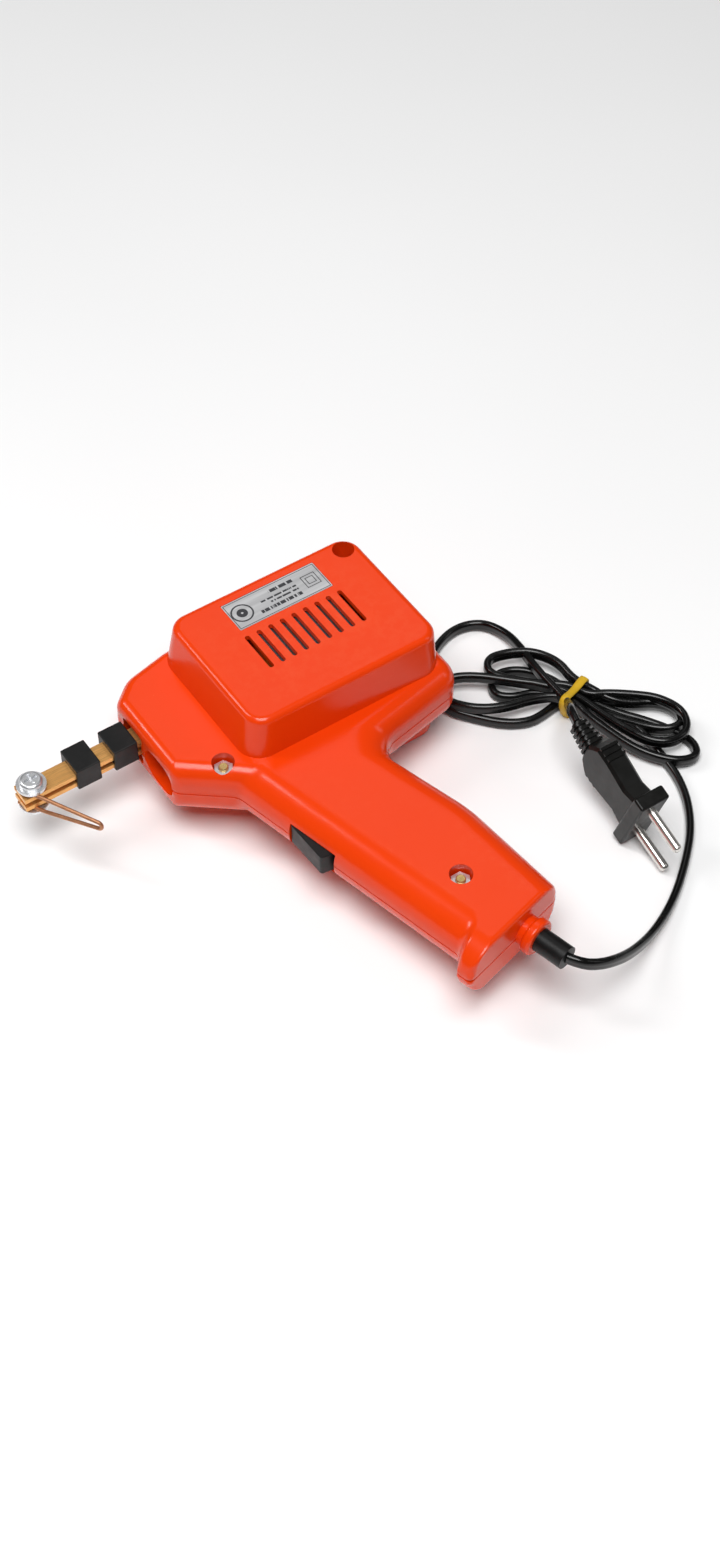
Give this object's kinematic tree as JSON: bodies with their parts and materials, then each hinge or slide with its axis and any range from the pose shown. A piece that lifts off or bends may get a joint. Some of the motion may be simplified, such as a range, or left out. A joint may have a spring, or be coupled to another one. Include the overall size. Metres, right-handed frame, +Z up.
{
  "type": "soldering gun",
  "caption": "Transformer soldering gun with a boxy head, raked grip, trigger, flat copper bars holding a bent wire tip, and a coiled flat cord with a plug.",
  "frame": {"origin": "middle of the underside of the gun lying on its side, cord left out", "axes": "X towards the soldering tip, Y towards the end of the grip, Z up"},
  "size_m": [0.2578, 0.2144, 0.06],
  "materials": {
    "orange_plastic": "glossy orange-red moulded plastic",
    "label_silver": "brushed silver foil with plain dark marks",
    "brass_plated": "yellow zinc plated steel",
    "zinc": "bright zinc plate",
    "lamination_steel": "varnished silicon steel laminations",
    "bobbin_plastic": "natural nylon",
    "enamelled_copper": "enamelled copper wire",
    "yellow_tape": "polyester tape",
    "tinned_brass": "tinned brass",
    "bare_copper": "bright bare copper, drawn and lightly brushed",
    "tip_copper": "bare copper wire, slightly dulled",
    "black_plastic": "matt black moulded plastic",
    "clear_glass": "clear glass",
    "lamp_insulation": "white insulation",
    "switch_plastic": "dark switch moulding",
    "brown_insulation": "brown insulation",
    "blue_insulation": "blue insulation",
    "black_rubber": "black rubber",
    "black_pvc": "glossy black flexible PVC",
    "yellow_rubber": "yellow rubber band",
    "nickel": "bright nickel plate"
  },
  "bodies": {
    "gun": {"housing_upper": "orange_plastic", "housing_lower": "orange_plastic", "rating_plate_upper": "label_silver", "rating_plate_lower": "label_silver", "housing_bolts": "brass_plated", "housing_nuts": "zinc", "core_e_stack": "lamination_steel", "core_i_stack": "lamination_steel", "bobbin": "bobbin_plastic", "primary_winding": "enamelled_copper", "winding_tape": "yellow_tape", "solder_tags": "tinned_brass", "secondary_bar": "bare_copper", "spacer_block_inner": "black_plastic", "spacer_block_outer": "black_plastic", "tip_screws": "zinc", "tip_washers": "zinc", "lamp_bulb": "clear_glass", "lamp_cap": "tinned_brass", "lamp_holder": "bobbin_plastic", "lamp_wire_a": "lamp_insulation", "lamp_wire_b": "lamp_insulation", "trigger_pin": "zinc", "switch_case": "switch_plastic", "switch_terminals": "tinned_brass", "wire_live": "brown_insulation", "wire_neutral": "blue_insulation", "wire_switched": "brown_insulation", "cord_sleeve": "black_rubber", "cord_lead": "black_pvc", "cord_tail": "black_pvc", "cord_hank": "black_pvc", "cord_tie": "yellow_rubber", "plug_body": "black_pvc", "plug_pins": "nickel"},
    "trigger": {"trigger": "black_plastic"},
    "plunger": {"switch_plunger": "bobbin_plastic"},
    "tip": {"tip_wire": "tip_copper"}
  },
  "joints": [
    {"name": "trigger_rock", "type": "hinge", "parent": "gun", "child": "trigger", "pos_m": [0.00301, -0.00245, 0.03], "axis": [0, 0, 1], "range_deg": [0, 8], "stiffness_Nm_per_rad": 0.6, "springref_deg": -20.05},
    {"name": "plunger_push", "type": "slide", "parent": "gun", "child": "plunger", "axis": [0.9685, 0.249, 0], "range_m": [-0.002, 0]},
    {"name": "tip_swing", "type": "hinge", "parent": "gun", "child": "tip", "pos_m": [0.0812, -0.0765, 0.03], "axis": [0, 0, 1], "range_deg": [-230, 0]}
  ],
  "couplings": [
    {"joint": "plunger_push", "follows": "trigger_rock", "m_per_rad": -0.0125}
  ]
}
